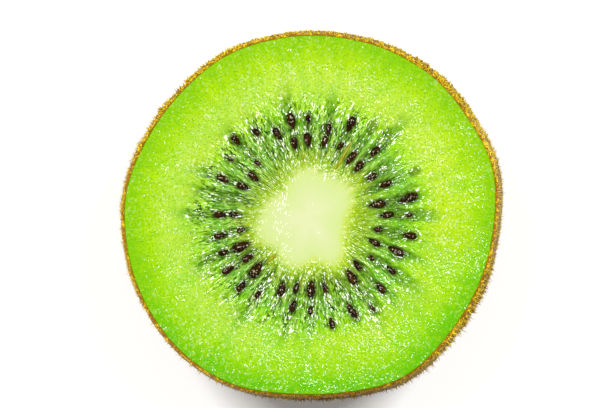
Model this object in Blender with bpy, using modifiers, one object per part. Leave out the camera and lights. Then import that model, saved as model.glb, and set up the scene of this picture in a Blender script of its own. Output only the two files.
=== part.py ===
"""Kiwi fruit half, cut across, standing on its flattened stem end with the cut face up.

Blender 4.5, in metres, +Z up. Run it with blender --background --python part.py, or from
Blender's text editor. The origin is on the resting surface, under the middle of the fruit.

The half is one solid, because skin, flesh and core are grown together. It is a turned
profile that is then pressed into the oval and slightly lobed section of a real fruit, leaned
a little because the cut isn't square to the fruit's length, and given the low relief of the
cut face: the raised core and the seed pockets that run out from it like the rays of a star.
"""

import math

import bpy

# The cut face and the body, in metres
FACE_RADIUS = 0.0253  # mean radius of the cut face, skin included
HEIGHT = 0.0370  # from the resting surface to the rim of the cut face
BELLY_DROP = 0.0060  # the fruit is widest this far below the cut
FRUIT_HALF_LENGTH = 0.0317  # from the widest section to where the tip would be without its flat
SHOULDER_POWER = 2.0  # above the belly the side follows an ellipse
END_POWER = 2.2  # below it a fuller curve, which blunts the stem end
RIM_ROUND = 0.0003  # radius of the edge between the cut face and the skin

# The stem end that the half stands on, in metres
DIMPLE_RADIUS = 0.0034
DIMPLE_DEPTH = 0.0010
SCAR_RADIUS = 0.0021  # the woody scar of the stem, which stays clear of the resting surface
SCAR_GAP = 0.0004

# The section: shares of the radius, and angles in degrees from +X towards +Y
OVAL = (2, 0.019, 51.0)  # waves round the fruit, height of a wave, and its phase
LOBES = ((4, 0.0065, 120.0), (5, 0.0074, 111.0))
LEAN_ANGLE = 3.5  # the fruit's long axis leans this far from the upright, in degrees
LEAN_TOWARDS = -8.0  # the direction in which the stem end is set off

# The relief of the cut face
POCKETS = 32  # seed pockets round the core
POCKET_DEPTH = 0.00035  # metres
CORE_RISE = 0.00025  # metres
CORE_EDGE = (0.22, 0.30)  # shares of the radius between which the core falls to the flesh
POCKET_START = (0.29, 0.37)  # and between which the pockets begin and end
POCKET_END = (0.56, 0.70)

# How finely the solid is faceted
STEPS_PER_POCKET = 4
FACE_RINGS = (0.0, 0.11, 0.22, 0.29, 0.37, 0.46, 0.56, 0.63, 0.70, 0.82, 0.93)
SHOULDER_RINGS = 3
END_RINGS = 10
RIM_STEPS = 2
MERGE_DISTANCE = 0.00001
SHARP_FROM = 40.0  # edges sharper than this many degrees aren't shaded smooth

FLESH_COLOUR = (0.36, 0.76, 0.04, 1.0)
FLESH_ROUGHNESS = 0.35


def clear_scene():
    for obj in list(bpy.data.objects):
        bpy.data.objects.remove(obj, do_unlink=True)


def smooth_step(low, high, value):
    """0 up to low, 1 from high on, and an S-curve between them."""
    share = min(1.0, max(0.0, (value - low) / (high - low)))
    return share * share * (3 - 2 * share)


def belly_radius():
    """Mean radius of the widest section, which the size of the cut face sets."""
    return FACE_RADIUS / ellipse_share(BELLY_DROP, SHOULDER_POWER)


def ellipse_share(distance, power):
    """Radius over the belly's, at this distance along the fruit from its widest section."""
    return (1 - (distance / FRUIT_HALF_LENGTH) ** power) ** (1 / power)


def rim_profile():
    """The small rounded edge, from the flat of the cut face down to the skin."""
    centre_r = FACE_RADIUS - RIM_ROUND
    centre_z = HEIGHT - RIM_ROUND
    for step in range(RIM_STEPS + 1):
        turn = math.radians(90) * (1 - step / RIM_STEPS)
        yield centre_r + RIM_ROUND * math.cos(turn), centre_z + RIM_ROUND * math.sin(turn)


def side_profile():
    """The skin, from just under the rim to the edge of the flat that the half stands on."""
    widest = belly_radius()
    belly_z = HEIGHT - BELLY_DROP
    for step in range(1, SHOULDER_RINGS + 1):
        above = (BELLY_DROP - RIM_ROUND) * (1 - step / SHOULDER_RINGS)
        yield widest * ellipse_share(above, SHOULDER_POWER), belly_z + above
    deepest = math.asin((belly_z / FRUIT_HALF_LENGTH) ** (END_POWER / 2))
    for step in range(1, END_RINGS + 1):
        turn = deepest * step / END_RINGS
        below = FRUIT_HALF_LENGTH * math.sin(turn) ** (2 / END_POWER)
        yield widest * math.cos(turn) ** (2 / END_POWER), belly_z - below


def stem_end_profile():
    """The dimple in the flat, with the scar of the stem standing in it."""
    edge = RIM_ROUND
    yield DIMPLE_RADIUS, 0.0
    yield DIMPLE_RADIUS - 2 * edge, DIMPLE_DEPTH
    yield SCAR_RADIUS, DIMPLE_DEPTH
    yield SCAR_RADIUS - edge, SCAR_GAP
    yield 0.0, SCAR_GAP


def half_profile():
    """(radius, height) from the middle of the cut face, down the side, to the middle below."""
    flat = [(share * FACE_RADIUS, HEIGHT) for share in FACE_RINGS]
    return flat + list(rim_profile()) + list(side_profile()) + list(stem_end_profile())


def turned(name, profile, steps):
    """A mesh object made by turning the profile once round the Z axis."""
    mesh = bpy.data.meshes.new(name + "_profile")
    edges = [(i, i + 1) for i in range(len(profile) - 1)]
    mesh.from_pydata([(radius, 0.0, height) for radius, height in profile], edges, [])
    lathe = bpy.data.objects.new(name + "_lathe", mesh)
    bpy.context.scene.collection.objects.link(lathe)
    screw = lathe.modifiers.new("turn", "SCREW")
    screw.axis = "Z"
    screw.steps = screw.render_steps = steps
    screw.use_merge_vertices = True
    screw.merge_threshold = MERGE_DISTANCE
    graph = bpy.context.evaluated_depsgraph_get()
    made = bpy.data.meshes.new_from_object(lathe.evaluated_get(graph))
    bpy.data.objects.remove(lathe, do_unlink=True)
    made.name = name
    return bpy.data.objects.new(name, made)


def section_share(angle):
    """Radius of the oval, lobed section over its mean, in this direction."""
    share = 1.0
    for waves, height, phase in (OVAL,) + LOBES:
        share += height * math.cos(waves * angle - math.radians(phase))
    return share


def face_relief(share, angle):
    """Height of the cut face over its flat, at this share of the radius and in this direction."""
    core = 1 - smooth_step(*CORE_EDGE, share)
    pocket = smooth_step(*POCKET_START, share) * (1 - smooth_step(*POCKET_END, share))
    across = 0.5 + 0.5 * math.cos(POCKETS * angle)
    return CORE_RISE * core - POCKET_DEPTH * pocket * across


def shape_fruit(mesh):
    """Presses the turned mesh into the section, cuts the face's relief and leans the fruit."""
    slope = math.tan(math.radians(LEAN_ANGLE))
    towards = math.radians(LEAN_TOWARDS)
    for vertex in mesh.vertices:
        x, y, z = vertex.co
        radius = math.hypot(x, y)
        angle = math.atan2(y, x)
        shaped = radius * section_share(angle)
        set_off = slope * (HEIGHT - z)
        on_face = z > HEIGHT - MERGE_DISTANCE
        relief = face_relief(radius / FACE_RADIUS, angle) if on_face else 0.0
        vertex.co = (
            shaped * math.cos(angle) + set_off * math.cos(towards),
            shaped * math.sin(angle) + set_off * math.sin(towards),
            z + relief,
        )


def centre_over_origin(mesh):
    """Moves the mesh sideways until its bounding box is centred on the Z axis."""
    for axis in (0, 1):
        places = [vertex.co[axis] for vertex in mesh.vertices]
        middle = (min(places) + max(places)) / 2
        for vertex in mesh.vertices:
            vertex.co[axis] -= middle


def fruit_material():
    """Wet green flesh. The brown skin, the pale core and the seeds are left to the finish."""
    material = bpy.data.materials.new("kiwi_flesh")
    material.use_nodes = True
    shader = material.node_tree.nodes["Principled BSDF"]
    shader.inputs["Base Color"].default_value = FLESH_COLOUR
    shader.inputs["Roughness"].default_value = FLESH_ROUGHNESS
    shader.inputs["Metallic"].default_value = 0.0
    return material


def build():
    clear_scene()
    fruit = turned("kiwi_half", half_profile(), POCKETS * STEPS_PER_POCKET)
    shape_fruit(fruit.data)
    centre_over_origin(fruit.data)
    fruit.data.shade_smooth()
    fruit.data.set_sharp_from_angle(angle=math.radians(SHARP_FROM))
    fruit.data.materials.append(fruit_material())
    collection = bpy.data.collections.new("kiwi_fruit_half")
    bpy.context.scene.collection.children.link(collection)
    collection.objects.link(fruit)


build()
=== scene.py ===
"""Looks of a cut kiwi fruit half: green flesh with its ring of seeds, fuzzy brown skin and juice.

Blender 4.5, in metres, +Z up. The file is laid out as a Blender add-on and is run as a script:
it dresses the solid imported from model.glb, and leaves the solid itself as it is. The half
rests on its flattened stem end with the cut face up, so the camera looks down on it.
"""

import math

import bpy
from mathutils import Matrix, Vector


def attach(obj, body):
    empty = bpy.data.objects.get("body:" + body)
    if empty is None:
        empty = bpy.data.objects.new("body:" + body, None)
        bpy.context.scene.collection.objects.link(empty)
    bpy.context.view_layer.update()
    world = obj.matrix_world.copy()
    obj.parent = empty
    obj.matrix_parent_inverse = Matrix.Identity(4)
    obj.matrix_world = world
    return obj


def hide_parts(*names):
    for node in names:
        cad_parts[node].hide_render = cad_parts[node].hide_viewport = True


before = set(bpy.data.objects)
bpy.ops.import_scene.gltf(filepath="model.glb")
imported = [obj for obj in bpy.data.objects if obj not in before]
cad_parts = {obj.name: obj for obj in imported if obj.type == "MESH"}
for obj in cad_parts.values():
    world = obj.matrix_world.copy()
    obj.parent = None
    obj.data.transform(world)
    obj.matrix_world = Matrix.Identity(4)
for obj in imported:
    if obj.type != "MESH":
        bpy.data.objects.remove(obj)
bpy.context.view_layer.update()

bl_info = {
    "name": "Kiwi Fruit Half",
    "version": (1, 0, 0),
    "blender": (4, 5, 0),
    "location": "3D View > Sidebar > Kiwi",
    "description": "Flesh, skin, fuzz, seeds and juice of a kiwi fruit cut across",
    "category": "Add Mesh",
}

SOLID = "kiwi_half"
BODY = "root"
TAU = 2 * math.pi
NEARLY_NOTHING = 0.00001  # metres
MIDDLE = (0.5, 0.5, 0.5)  # the mean of a colour from noise

# The solid's own sizes, in metres and degrees: the pieces here follow the same surfaces
FACE_RADIUS = 0.0253
HEIGHT = 0.0370
BELLY_DROP = 0.0060
FRUIT_HALF_LENGTH = 0.0317
SHOULDER_POWER = 2.0
END_POWER = 2.2
RIM_ROUND = 0.0003
DIMPLE_RADIUS = 0.0034
DIMPLE_DEPTH = 0.0010
SCAR_RADIUS = 0.0021
SCAR_GAP = 0.0004
LEAN_ANGLE = 3.5
LEAN_TOWARDS = -8.0
POCKETS = 32

# Under the peel: how far in the flesh lies, as a share of the peel's thickness, and how low the
# flesh and the inside of the peel go, in metres
FLESH_INSET = 0.8
FLESH_FLOOR = 2 * DIMPLE_DEPTH
PEEL_FLOOR = 1.6 * DIMPLE_DEPTH

# Waves round the fruit: how many, height of a wave as a share, and its phase in degrees
SECTION_WAVES = ((2, 0.019, 51.0), (4, 0.0065, 120.0), (5, 0.0074, 111.0))
RIM_WAVES = (
    (1, 0.0036, -63.0),
    (2, 0.0021, -135.0),
    (3, 0.0038, -130.0),
    (5, 0.0018, -19.0),
    (6, 0.0066, -2.0),
    (8, 0.0017, -164.0),
    (9, 0.0021, 125.0),
    (10, 0.0014, 142.0),
    (11, 0.0014, 135.0),
    (14, 0.0010, -127.0),
)
CORE_SHARE = 0.2443
CORE_WAVES = (
    (1, 0.086, -119.0),
    (2, 0.078, 134.0),
    (3, 0.068, -177.0),
    (4, 0.045, 79.0),
    (5, 0.051, 141.0),
    (6, 0.020, 46.0),
    (7, 0.038, -61.0),
    (8, 0.027, -161.0),
)
# The pockets are darker on two sides of the ring than on the two between them
RING_SHADE = ((2, 0.2, 60.0),)
# Where the hairs stand longer or lie shorter
FUZZ_WAVES = (
    (1, 0.31, 61.0),
    (2, 0.23, -58.0),
    (3, 0.27, 131.0),
    (4, 0.22, -11.0),
    (5, 0.22, -128.0),
)
SHORTEST_FUZZ = 0.2  # the least that those waves may leave of a hair's length

# The hairs, with their sides of the fruit in degrees from +X towards +Y
# The darkest side is painted shade on the hairs and the peel, and the palest sides are painted light on
# the hairs
SHADED_TOWARDS = 276.0  # the side whose hairs are darkest
LIT_TOWARDS = 205.0  # the sides whose hairs are palest
ALSO_LIT_TOWARDS = 12.0
COMBED_TOWARDS = 40.0  # the side where no hair stands out from the rest
TRIMMED_FROM = (0.945, 0.988)  # how straight to +X or -X a side faces where the hairs get shorter
TRIMMED = 0.42  # the share of its length that a hair loses there
DOWN_DENSITY = 4000000.0  # hairs to the square metre
BRISTLE_DENSITY = 2500000.0
DOWN_SEED = 11
BRISTLE_SEED = 12
LOWEST_HAIR = 0.00003  # metres over the ground

# The juice: beads coloured near-white, which stand for glints as painted highlights
JUICE_SEED = 21
BEAD_DENSITY = 1700000.0  # beads to the square metre
CREASE = -0.0040  # where a lobe of the core joins the rest of it, in metres from its middle
WET_EDGE = 0.975  # the share of the radius that the beads keep within

# Threads from the core's edge: direction in degrees, the shares of the radius where they run,
# and their thickness beside the thickest
STRANDS = (
    (61.0, 0.285, 0.475, 1.25),
    (227.0, 0.27, 0.345, 1.3),
    (97.0, 0.29, 0.36, 0.4),
    (263.0, 0.33, 0.40, 0.5),
    (214.0, 0.36, 0.42, 0.4),
    (24.0, 0.31, 0.36, 0.35),
)
STRAND_LIFT = 0.00002  # metres over the cut
STRAND_STEPS = 24  # points along a strand

# How fine the patterns are, in waves to the metre
CELLS = 2900.0
DEEP_CELLS = 3700.0
FLESH_PATCHES = 230.0
GLINT_STROKES = 2500.0
GLINT_STROKE_GAPS = 2100.0
STROKE_PATCHES = 150.0
WET_PATCHES = 190.0
FACETS = 2700.0
PEEL_STREAKS = (2600.0, 800.0)  # across the fruit and along it
CUT_LINE = 1300.0
SEED_GLINTS = 4200.0
SEED_PITS = 2800.0
JUICE_GLINT_TONE = 1800.0
STRAND_TONE = 1500.0
CARD_GRAIN = 900.0
CELL_RELIEF = 1500.0
PEEL_DENTS = 240.0
PEEL_GRAIN = 1900.0
TUFTS = 700.0
HAIR_SWAY = 9000.0
BEAD_CLOUDS = 180.0
STRAND_DRIFT = 450.0

# What a colour is multiplied by
WARM_TINT = (1.0, 1.0, 0.25)  # the flesh of the lower right side
SHADED_TINT = (0.66, 0.68, 0.6)  # the peel of the shaded side
CARD_TINT = 0.985  # the darkest grain of the floor

# The studio, in metres where nothing else is said
LIGHT_LEVEL = 1.98  # how much brighter it is than what makes a white card look white
SOFTBOXES = {"left_softbox": (-0.31, 0.24, 1.20), "right_softbox": (0.31, 0.24, 1.20)}
SOFTBOX_SIZE = 0.22
WORLD_COLOUR = (1.0, 0.99, 0.94, 1.0)
SENSOR_WIDTH = 36.0  # millimetres
CAMERA_RANGE = (0.01, 20.0)
# The fruit's middle sits a little right of the image's middle and below it
AIM_OFFSET = Vector((-0.00059, 0.00166, 0.0))

# How finely the pieces are meshed
FLESH_STEPS = 640
SKIN_STEPS = 384
FACE_BANDS = ((0.25, 26), (0.72, 82), (0.984, 26))  # share of the radius, rings up to there
WALL_RINGS = 8
SHOULDER_RINGS = 10
END_RINGS = 64
LIP_STEPS = 4
MERGE_DISTANCE = 0.000001
SHARP_FROM = 50.0  # edges sharper than this many degrees aren't shaded smooth


def from_srgb(red, green, blue, light=LIGHT_LEVEL):
    """The colour of a surface that looks like this, from 0 to 255, under that much light."""
    return tuple(
        (v / 12.92 if v <= 0.04045 else ((v + 0.055) / 1.055) ** 2.4) / light
        for v in (red / 255, green / 255, blue / 255)
    )


# ---------------- formulas as node trees


class Signal:
    """A value on its way through a node tree, with the arithmetic that a formula needs."""

    def __init__(self, recipe, socket):
        self.recipe = recipe
        self.socket = socket

    def output(self, name):
        """Another output of the node that made this value."""
        return Signal(self.recipe, self.socket.node.outputs[name])

    def math(self, operation, *others):
        """One step of arithmetic, in vectors where this value is a vector or a colour."""
        vectors = self.socket.type in {"VECTOR", "RGBA"}
        kind = "ShaderNodeVectorMath" if vectors else "ShaderNodeMath"
        return self.recipe.add(kind, self, *others, operation=operation)

    def __add__(self, other):
        return self.math("ADD", other)

    def __sub__(self, other):
        return self.math("SUBTRACT", other)

    def __mul__(self, other):
        return self.math("MULTIPLY", other)

    def __truediv__(self, other):
        return self.math("DIVIDE", other)

    def __pow__(self, other):
        return self.math("POWER", other)

    def __rsub__(self, other):
        return self.recipe.add("ShaderNodeMath", other, self, operation="SUBTRACT")

    def __rtruediv__(self, other):
        return self.recipe.add("ShaderNodeMath", other, self, operation="DIVIDE")

    __radd__ = __add__

    def parts(self):
        """The three numbers of a vector."""
        split = self.recipe.add("ShaderNodeSeparateXYZ", self)
        return split, split.output("Y"), split.output("Z")

    def smooth(self, low, high):
        """0 up to low, 1 from high on, and an S-curve between them."""
        kind = "ShaderNodeMapRange"
        return self.recipe.add(kind, self, low, high, interpolation_type="SMOOTHSTEP")

    def fading(self, low, high):
        """1 up to low, 0 from high on, and an S-curve between them."""
        return 1.0 - self.smooth(low, high)

    def scaled(self, low, high, to_low, to_high):
        """Its way from low to high, put between to_low and to_high and held there."""
        return self.recipe.add("ShaderNodeMapRange", self, low, high, to_low, to_high)


class Recipe:
    """Writes one node tree. Each step adds a node and gives back its value.

    Where inputs are given by name, the name is capitalised and has _ for each space.
    """

    def __init__(self, tree):
        self.tree = tree

    def feed(self, socket, value):
        """Links a signal to a socket, or sets the socket's own value."""
        if isinstance(value, Signal):
            self.tree.links.new(value.socket, socket)
        elif socket.type == "RGBA":
            socket.default_value = (*value[:3], 1.0)
        else:
            socket.default_value = value

    def feed_all(self, node, inputs):
        for name, value in inputs.items():
            self.feed(node.inputs[name.replace("_", " ")], value)

    def add(self, kind, *values, **named):
        """A node. Values go to its inputs in turn, or by name, and the rest are settings."""
        node = self.tree.nodes.new(kind)
        for name, value in named.items():
            if name[0].islower():
                setattr(node, name, value)
        for socket, value in zip([s for s in node.inputs if s.enabled], values):
            self.feed(socket, value)
        self.feed_all(node, {k: v for k, v in named.items() if k[0].isupper()})
        return Signal(self, next(s for s in node.outputs if s.enabled))

    def use(self, name, build, **inputs):
        """Places a shared group, which is built where it is first needed."""
        node = self.tree.nodes.new(self.tree.bl_idname.replace("Tree", "Group"))
        node.node_tree = bpy.data.node_groups.get(name) or build(name)
        self.feed_all(node, inputs)
        return Signal(self, node.outputs[0])

    def vector(self, x, y, z):
        return self.add("ShaderNodeCombineXYZ", x, y, z)

    def noise(self, place, scale, detail=2.0, roughness=0.5):
        inputs = {"Vector": place, "Scale": scale, "Detail": detail, "Roughness": roughness}
        return self.add("ShaderNodeTexNoise", **inputs)

    def random(self, low, high, number, seed, kind="FLOAT"):
        return self.add("FunctionNodeRandomValue", low, high, number, seed, data_type=kind)

    def blend(self, factor, first, second, blend_type="MIX"):
        """One colour laid over another."""
        settings = {"data_type": "RGBA", "blend_type": blend_type, "clamp_factor": True}
        return self.add("ShaderNodeMix", factor, first, second, **settings)

    def tidy_layout(self):
        """Sets the nodes out in columns, from the output back to the inputs."""
        nodes = self.tree.nodes
        column = {}
        waiting = [(node, 0) for node in nodes if not any(s.is_linked for s in node.outputs)]
        while waiting:
            node, depth = waiting.pop()
            if column.get(node.name, -1) >= depth:
                continue
            column[node.name] = depth
            for socket in node.inputs:
                waiting += [(link.from_node, depth + 1) for link in socket.links]
        filled = {}
        for node in nodes:
            depth = column.get(node.name, 0)
            filled[depth] = filled.get(depth, 0) + 1
            node.location = (-220 * depth, -190 * filled[depth])


class Group(Recipe):
    """Writes a node group. Its inputs are a name and a default each, and are read as group[name].

    Where a socket has no default, the last word of its type stands in its place.
    """

    def __init__(self, name, kind, inputs, outputs):
        super().__init__(bpy.data.node_groups.new(name, kind))
        kinds = {float: "Float", int: "Int", tuple: "Vector"}
        for in_out, sockets in (("INPUT", inputs), ("OUTPUT", outputs)):
            for title, default in sockets.items():
                plain = isinstance(default, str)
                last = default if plain else kinds[type(default)]
                socket = self.tree.interface.new_socket(
                    title, in_out=in_out, socket_type="NodeSocket" + last
                )
                if not plain:
                    socket.default_value = default
        self.start = self.tree.nodes.new("NodeGroupInput")
        self.end = self.tree.nodes.new("NodeGroupOutput")

    def __getitem__(self, title):
        return Signal(self, self.start.outputs[title])

    def close(self, **results):
        """Feeds the group's outputs and gives back its tree."""
        self.feed_all(self.end, results)
        self.tidy_layout()
        return self.tree


class Growth(Group):
    """Writes a geometry tree that takes geometry and a material and gives back geometry."""

    def __init__(self, name, inputs):
        first = {"Geometry": "Geometry", "Material": "Material"}
        super().__init__(name, "GeometryNodeTree", first | inputs, {"Geometry": "Geometry"})
        self.position = self.add("GeometryNodeInputPosition")

    def index(self):
        """The number of a point, from the one node that gives it."""
        node = self.tree.nodes.get("Index")
        return Signal(self, node.outputs[0]) if node else self.add("GeometryNodeInputIndex")

    def draw(self, low, high, salt, kind="FLOAT"):
        """A number or a vector between two others, drawn for each point."""
        return self.random(low, high, self.index(), self["Seed"] + salt, kind)

    def store(self, geometry, **values):
        """Keeps values on the points, for later steps and for the materials to read."""
        for name, value in values.items():
            kind = "FLOAT_VECTOR" if value.socket.type == "VECTOR" else "FLOAT"
            inputs = {"Geometry": geometry, "Name": name, "Value": value}
            settings = {"data_type": kind, "domain": "POINT"}
            geometry = self.add("GeometryNodeStoreNamedAttribute", **inputs, **settings)
        return geometry

    def read(self, name, kind="FLOAT"):
        """A value kept on the points."""
        made = self.add("GeometryNodeInputNamedAttribute", Name=name, data_type=kind)
        return made.output("Attribute")

    def scatter(self, chosen, density):
        """Points on the faces of the start mesh."""
        inputs = {"Mesh": self["Geometry"], "Selection": chosen, "Seed": self["Seed"]}
        return self.add("GeometryNodeDistributePointsOnFaces", Density=density, **inputs)

    def move(self, geometry, **where):
        return self.add("GeometryNodeSetPosition", Geometry=geometry, **where)

    def press(self, geometry):
        """Gives round geometry the fruit's section, lean and place."""
        return self.use("Kiwi Section", section_group, Geometry=geometry)

    def smoothed(self, geometry):
        return self.add("GeometryNodeSetShadeSmooth", geometry)

    def grow(self, geometry):
        """Realizes the instances, sets the material and closes the tree."""
        plain = self.add("GeometryNodeRealizeInstances", geometry)
        painted = self.add("GeometryNodeSetMaterial", Geometry=plain, Material=self["Material"])
        return self.close(Geometry=painted)


class Paint(Recipe):
    """Writes a material: colours are laid one over another before they reach its shader.

    A colour of the looks is given by its name.
    """

    def __init__(self, name, looks):
        self.looks = looks
        self.material = bpy.data.materials.new(name)
        self.material.use_nodes = True
        super().__init__(self.material.node_tree)
        self.place = self.add("ShaderNodeTexCoord").output("Object")
        self.colour = None

    def feed(self, socket, value):
        """Looks a named colour up, then feeds as any recipe."""
        named = isinstance(value, str)
        super().feed(socket, getattr(self.looks, value + "_colour") if named else value)

    def read(self, name):
        """A value kept on the points."""
        return self.add("ShaderNodeAttribute", attribute_name=name).output("Fac")

    def lay(self, factor, colour, blend_type="MIX"):
        """Lays a colour over the present one."""
        self.colour = self.blend(factor, self.colour, colour, blend_type)

    def mottle(self, base, patch, patch_size, speck_size, amount):
        """Starts with an uneven colour, and gives back how strong its specks are."""
        sizes = {"Patch_Size": patch_size, "Speck_Size": speck_size, "Amount": amount}
        colours = {"Place": self.place, "Base": base, "Patch": patch}
        self.colour = self.use("Kiwi Mottle", mottle_group, **colours, **sizes)
        return self.colour.output("Specks")

    def ramp(self, factor, stops):
        """Starts with a colour that runs through these stops: place from 0 to 1, and its name."""
        self.colour = self.add("ShaderNodeValToRGB", factor)
        elements = self.colour.socket.node.color_ramp.elements
        while len(elements) < len(stops):
            elements.new(1.0)
        for element, (place, name) in zip(elements, stops.items()):
            element.position = place
            element.color = (*getattr(self.looks, name + "_colour"), 1.0)

    def bump(self, height, distance, **normal):
        return self.add("ShaderNodeBump", Height=height, Distance=distance, Strength=1.0, **normal)

    def side(self, towards, narrow):
        """1 on the side of the fruit that lies towards this angle in degrees, falling to 0 round it."""
        x, y, _ = self.place.parts()
        off = y.math("ARCTAN2", x) - math.radians(towards)
        return off.math("COSINE").smooth(narrow, 1.0)

    def finish(self, **inputs):
        """Feeds the shader and gives back the material."""
        shader = self.tree.nodes["Principled BSDF"]
        self.feed_all(shader, {"Base Color": self.colour} | inputs)
        self.tidy_layout()
        return self.material


# ---------------- the fruit's profile


def ellipse_share(distance, length, power):
    """Radius over the belly's, at this distance along the fruit from its widest section."""
    return (1 - (distance / length) ** power) ** (1 / power)


def side_profile(inset, top, bottom):
    """(radius, height) down the side at a depth under the outer surface, between two heights."""
    shoulder = ellipse_share(BELLY_DROP, FRUIT_HALF_LENGTH, SHOULDER_POWER)
    widest = FACE_RADIUS / shoulder - inset
    length = FRUIT_HALF_LENGTH - inset
    belly = HEIGHT - BELLY_DROP
    for step in range(SHOULDER_RINGS):
        above = (top - belly) * (1 - step / SHOULDER_RINGS)
        yield widest * ellipse_share(above, length, SHOULDER_POWER), belly + above
    deepest = math.asin(((belly - bottom) / length) ** (END_POWER / 2))
    for step in range(END_RINGS + 1):
        turn = deepest * step / END_RINGS
        below = length * math.sin(turn) ** (2 / END_POWER)
        yield widest * math.cos(turn) ** (2 / END_POWER), belly - below


def stem_end_profile():
    """The dimple in the flat, with the scar of the stem standing in it."""
    edge = RIM_ROUND
    yield DIMPLE_RADIUS + edge, 0.0
    yield DIMPLE_RADIUS, edge / 2
    yield DIMPLE_RADIUS - edge, DIMPLE_DEPTH
    yield SCAR_RADIUS, DIMPLE_DEPTH
    yield SCAR_RADIUS - edge, SCAR_GAP
    yield 0.0, SCAR_GAP


def flesh_profile(skin_thickness):
    """The cut face out to the skin, then the wall that the skin covers."""
    shares = []
    start = 0.0
    for end, rings in FACE_BANDS:
        shares += [start + (end - start) * ring / rings for ring in range(rings)]
        start = end
    face = [(share * FACE_RADIUS, HEIGHT) for share in (*shares, start)]
    wall = list(side_profile(skin_thickness * FLESH_INSET, HEIGHT - RIM_ROUND, FLESH_FLOOR))
    wall = wall[:: len(wall) // WALL_RINGS] + wall[-1:]
    return face + wall + [(0.0, FLESH_FLOOR)]


def skin_profile(skin_thickness):
    """The peel: up the inner side, over the cut edge, down the outer side and under the stem end."""
    inside = list(side_profile(skin_thickness, HEIGHT - RIM_ROUND / 2, PEEL_FLOOR))
    lip = []
    for step in range(LIP_STEPS + 1):
        turn = TAU / 4 * (1 - step / LIP_STEPS)
        out = FACE_RADIUS - RIM_ROUND + RIM_ROUND * math.cos(turn)
        lip.append((out, HEIGHT - RIM_ROUND + RIM_ROUND * math.sin(turn)))
    outside = list(side_profile(0.0, HEIGHT - RIM_ROUND, 0.0))[1:]
    closed = [(0.0, PEEL_FLOOR)] + inside[::-1] + lip + outside
    return closed + list(stem_end_profile())


def added(name, data):
    """A new object in the scene."""
    made = bpy.data.objects.new(name, data)
    bpy.context.scene.collection.objects.link(made)
    return made


def turned(name, profile, steps):
    """A mesh made by turning the profile once round the Z axis."""
    line = bpy.data.meshes.new(name + "_profile")
    edges = [(i, i + 1) for i in range(len(profile) - 1)]
    line.from_pydata([(radius, 0.0, height) for radius, height in profile], edges, [])
    lathe = added(name + "_lathe", line)
    screw = lathe.modifiers.new("turn", "SCREW")
    screw.axis = "Z"
    screw.steps = screw.render_steps = steps
    screw.use_merge_vertices = True
    screw.merge_threshold = MERGE_DISTANCE
    graph = bpy.context.evaluated_depsgraph_get()
    mesh = bpy.data.meshes.new_from_object(lathe.evaluated_get(graph))
    bpy.data.objects.remove(lathe, do_unlink=True)
    bpy.data.meshes.remove(line)
    return mesh


def face_centre():
    """Middle of the cut face: the mean of the solid's corners that lie level with it."""
    level = {
        (round(vertex.co.x, 6), round(vertex.co.y, 6))
        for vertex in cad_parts[SOLID].data.vertices
        if abs(vertex.co.z - HEIGHT) < MERGE_DISTANCE
    }
    return sum(x for x, _ in level) / len(level), sum(y for _, y in level) / len(level)


# ---------------- what the trees share


def waves(angle, table):
    """1 plus the cosine waves of a table, at this angle."""
    total = 1.0
    for count, height, phase in table:
        total = (angle * count - math.radians(phase)).math("COSINE") * height + total
    return total


def distance(x, y):
    return (x * x + y * y).math("SQRT")


def compass(x, y):
    """How far a place is from the middle, and its direction as shares of east and of north."""
    radius = distance(x, y)
    return radius, x / (radius + NEARLY_NOTHING), y / (radius + NEARLY_NOTHING)


def ray_noise(spot, across, along, detail=2.0, roughness=0.5):
    """Noise that wraps round the face, at a spot's east, north and share of the radius."""
    east, north, share = spot
    recipe = share.recipe
    place = recipe.vector(east * across, north * across, share * along)
    return recipe.noise(place, 1.0, detail, roughness)


def cluster(spot):
    """Where the fine threads and the drops of the ring crowd together: 0 apart, 1 crowded."""
    return ray_noise(spot, 12.0, 9.0, 1.0).smooth(0.42, 0.6)


def section_group(name):
    """Presses round geometry into the fruit's oval, lobed section, leans it and sets it in place."""
    inputs = {
        "Geometry": "Geometry",
        "Height": HEIGHT,
        "Lean": math.radians(LEAN_ANGLE),
        "Lean Towards": math.radians(LEAN_TOWARDS),
        "Face Centre": (*face_centre(), 0.0),
    }
    group = Group(name, "GeometryNodeTree", inputs, {"Geometry": "Geometry"})
    x, y, z = group.add("GeometryNodeInputPosition").parts()
    share = waves(y.math("ARCTAN2", x), SECTION_WAVES + RIM_WAVES)
    off = group["Lean"].math("TANGENT") * (group["Height"] - z)
    x = x * share + off * group["Lean Towards"].math("COSINE")
    y = y * share + off * group["Lean Towards"].math("SINE")
    placed = group.vector(x, y, z) + group["Face Centre"]
    moved = group.add("GeometryNodeSetPosition", Geometry=group["Geometry"], Position=placed)
    return group.close(Geometry=moved)


def pocket_group(name):
    """Where each seed pocket of the ring lies: the same for the flesh and for the seeds in it."""
    inputs = {"Pocket": 0, "Unevenness": 0.13, "Seed": 0}
    outputs = dict.fromkeys(("Offset", "Width", "Start", "Reach"), "Float")
    group = Group(name, "GeometryNodeTree", inputs, outputs)
    uneven = group["Unevenness"]
    spans = ((0.0 - uneven, uneven), (0.26, 0.44), (0.25, 0.31), (0.56, 0.76))
    drawn = [
        group.random(low, high, group["Pocket"], group["Seed"] + salt)
        for salt, (low, high) in enumerate(spans, start=1)
    ]
    return group.close(**dict(zip(outputs, drawn)))


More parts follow.
